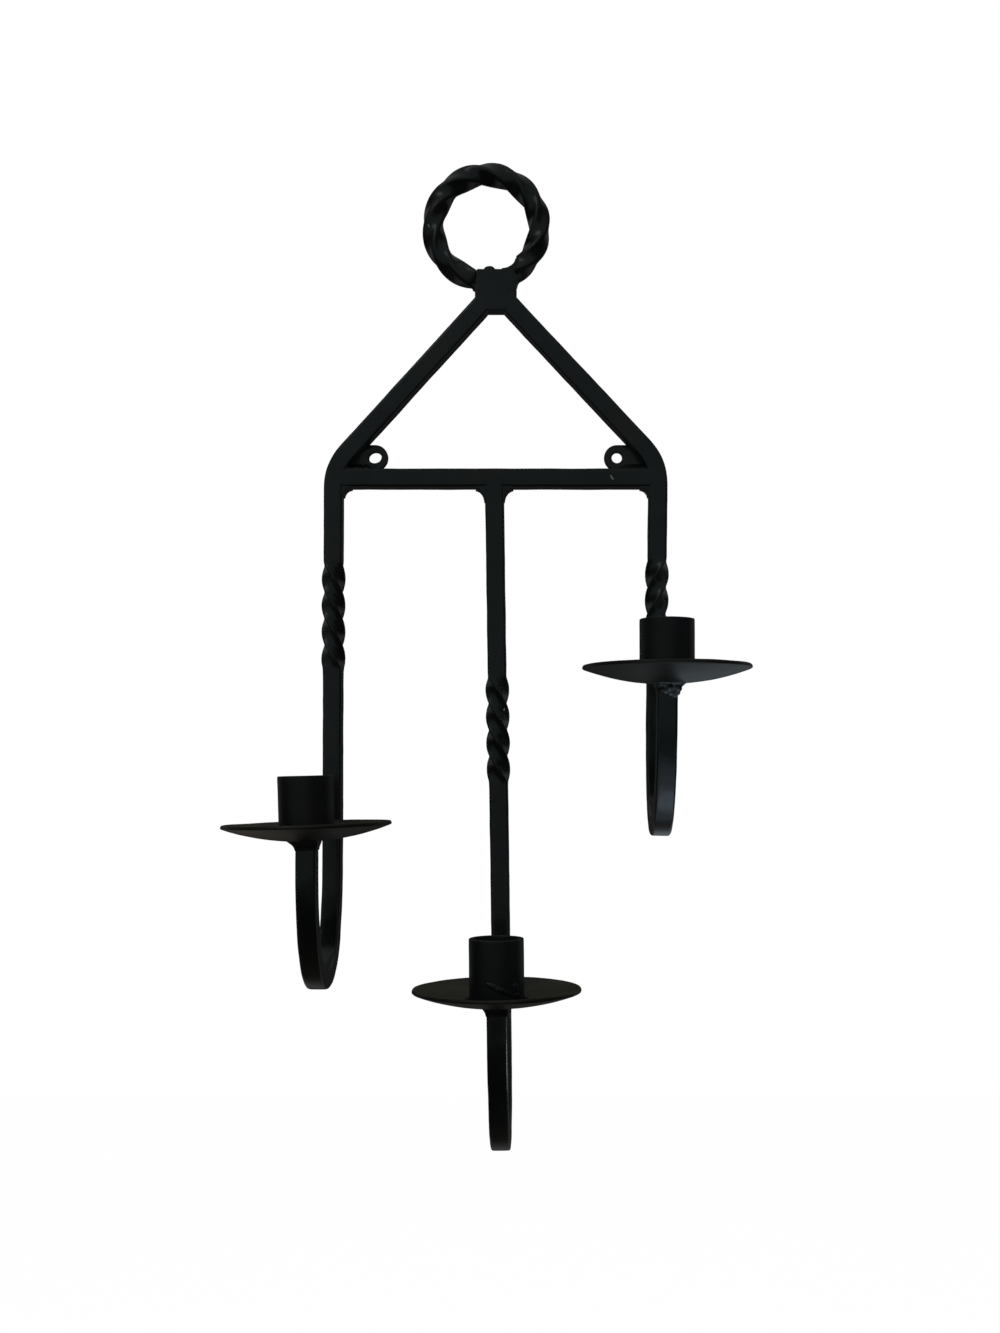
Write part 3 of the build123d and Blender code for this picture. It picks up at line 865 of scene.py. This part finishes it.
lamps = {  # mirrored: whether the paint shows the lamp itself; only: how the names of the pieces it is kept to start
    "key": {"place": (-1.0, -1.0, 1.2), "aim": (0, 0, -0.1), "size": 1.3, "watts": 6.5, "colour": (1.0, 0.98, 0.95),
            "mirrored": False},
    "glint": {"place": (-0.7, -1.1, 1.1), "aim": (0, 0, 0), "size": 0.5, "watts": 0.9, "colour": (0.9, 0.95, 1.0),
              "mirrored": True},
    "back": {"place": (-0.3, 1.6, 0.8), "aim": (0, 0, -0.1), "size": 1.4, "watts": 50.0, "colour": (1, 1, 1),
             "mirrored": False},
    "fill": {"place": (1.6, -0.4, 0.5), "aim": (0, 0, -0.1), "size": 1.4, "watts": 6.5, "colour": (0.95, 0.98, 1.0),
             "mirrored": False},
    "rightSide": {"place": (1.7, 0.3, 0.2), "aim": (0, 0, -0.1), "size": 1.4, "watts": 26.0, "colour": (1, 1, 1),
                  "mirrored": False, "only": ("right_side_bar", "centre_bar")},
    "leftSide": {"place": (-1.7, 0.3, 0.2), "aim": (0, 0, -0.1), "size": 1.4, "watts": 26.0, "colour": (1, 1, 1),
                 "mirrored": False, "only": "left_side_bar"},
    "low": {"place": (0.22, -0.42, -0.85), "aim": (0.085, -0.1, -0.17), "size": 0.45, "watts": 0.65,
            "colour": (0.62, 0.80, 1.0), "mirrored": True, "only": "right_"},
    "under": {"place": (0.12, -0.36, -0.74), "aim": (0.085, -0.09, -0.19), "size": 1.0, "watts": 1.3,
              "colour": (0.72, 0.85, 1.0), "mirrored": True, "only": "right_"},
    "pale": {"place": (0.19, 0.14, -0.28), "aim": (0.09, -0.09, -0.12), "size": 0.24, "watts": 0.055,
             "colour": (0.72, 0.87, 1.0), "mirrored": True, "only": "right_"},
    "brown": {"place": (-0.35, 0.30, -0.55), "aim": (-0.09, -0.08, -0.22), "size": 0.3, "watts": 0.06,
              "colour": (1.0, 0.80, 0.55), "mirrored": True, "only": ("left_drip_pan", "left_side_bar")},
    "edge": {"place": (0.26, -0.09, -0.38), "aim": (0.005, -0.08, -0.31), "size": 0.08, "watts": 0.014, "spread": 50,
             "colour": (0.98, 0.98, 1.0), "mirrored": True, "only": "centre_bar"},
}
for name, lamp in lamps.items():
    light = bpy.data.lights.new(name, "AREA")
    light.size = lamp["size"]
    light.energy = lamp["watts"]
    light.color = lamp["colour"]
    light.spread = math.radians(lamp.get("spread", 180))
    holder = bpy.data.objects.new(name, light)
    holder.location = lamp["place"]
    holder.rotation_euler = (Vector(lamp["aim"]) - Vector(lamp["place"])).to_track_quat("-Z", "Y").to_euler()
    holder.visible_camera = False
    holder.visible_glossy = lamp["mirrored"]
    bpy.context.scene.collection.objects.link(holder)
    if "only" in lamp:
        kept = bpy.data.collections.new("lit_by_" + name)
        for piece in finished:
            if piece.name.startswith(lamp["only"]):
                kept.objects.link(piece)
        holder.light_linking.receiver_collection = kept

skyLook = {  # colours of the room, and the reach of each along the way's Y, Z or X
    "frontHigh": (0.158, 0.190, 0.190, 1), "front": (0.15, 0.75), "frontRise": (-0.13, -0.03),
    "asideMiddle": 0.03, "aside": (0.04, 0.10), "asideFall": 0.12,
    "backHigh": (0.022, 0.020, 0.011, 1), "backRise": (0.04, 0.28), "backLow": (0.040, 0.037, 0.030, 1),
    "backFall": (0.30, 0.55), "dark": (0, 0, 0, 1),
    "flank": (0.12, 0.125, 0.125, 1), "flankFrom": (0.35, 0.50), "flankTo": (0.78, 0.92),
    "right": (0.15, 0.6), "rightEnd": (0.2, 0.4), "bandMiddle": 0.08, "band": (0.2, 0.35),
    "top": (0.22, 0.235, 0.235, 1), "topRise": (0.66, 0.92),
}


def lightSky():  # white to the camera; a soft room to the rest, pale in front and above, dark low and to the right
    world = bpy.data.worlds.new("room")
    bpy.context.scene.world = world
    world.use_nodes = True
    sky = Paint(world.node_tree)
    way = sky.node("ShaderNodeTexCoord", out="Generated")
    right, back, up = (sky.node("ShaderNodeSeparateXYZ", None, {"Vector": way}, out=axis) for axis in "XYZ")
    aside = (right + skyLook["asideMiddle"]).most(0 - skyLook["asideMiddle"] - right)
    rise = up + sky.step(aside, *skyLook["aside"]) * skyLook["asideFall"]
    front = sky.mix(sky.step(rise, *skyLook["frontRise"]), skyLook["dark"], skyLook["frontHigh"])
    behind = sky.mix(sky.step(0 - up, *skyLook["backFall"]), skyLook["dark"], skyLook["backLow"])
    behind = sky.mix(sky.step(up, *skyLook["backRise"]), behind, skyLook["backHigh"])
    flank = sky.step(back, *skyLook["flankFrom"]) * (1 - sky.step(back, *skyLook["flankTo"]))
    behind = sky.mix(flank, behind, skyLook["flank"])
    colour = sky.mix(sky.step(0 - back, *skyLook["front"]), behind, front)
    offBand = sky.step((up - skyLook["bandMiddle"]).most(skyLook["bandMiddle"] - up), *skyLook["band"])
    shaded = sky.step(right, *skyLook["right"]) * (1 - sky.step(back, *skyLook["rightEnd"])) * (1 - offBand)
    colour = sky.mix(shaded, colour, skyLook["dark"])
    colour = sky.mix(sky.step(up, *skyLook["topRise"]), colour, skyLook["top"])
    camera, glossy, transmission = sky.rays("Camera", "Glossy", "Transmission")
    seen = camera.most(transmission).most(glossy * room["mirrored"])
    shade = sky.node("ShaderNodeBackground", None, {"Color": sky.mix(seen, colour, room["white"]), "Strength": 1.0})
    sky.node("ShaderNodeOutputWorld", None, {"Surface": shade})


lightSky()
bpy.context.scene.view_settings.view_transform = "Standard"

view = {
    "lens": 40.10, "sensor": 36.0, "near": 0.01, "place": (20.54 * mm, -789.33 * mm, -167.48 * mm),
    "shift": (-0.02613, 0.0806),
}
lens = bpy.data.cameras.new("photo_camera")
lens.lens = view["lens"]
lens.sensor_width = view["sensor"]
lens.shift_x, lens.shift_y = view["shift"]
lens.clip_start = view["near"]
camera = bpy.data.objects.new("photo_camera", lens)
camera.location = view["place"]
camera.rotation_euler = (math.pi / 2, 0, 0)
bpy.context.scene.collection.objects.link(camera)
bpy.context.scene.camera = camera
print("stage lit")
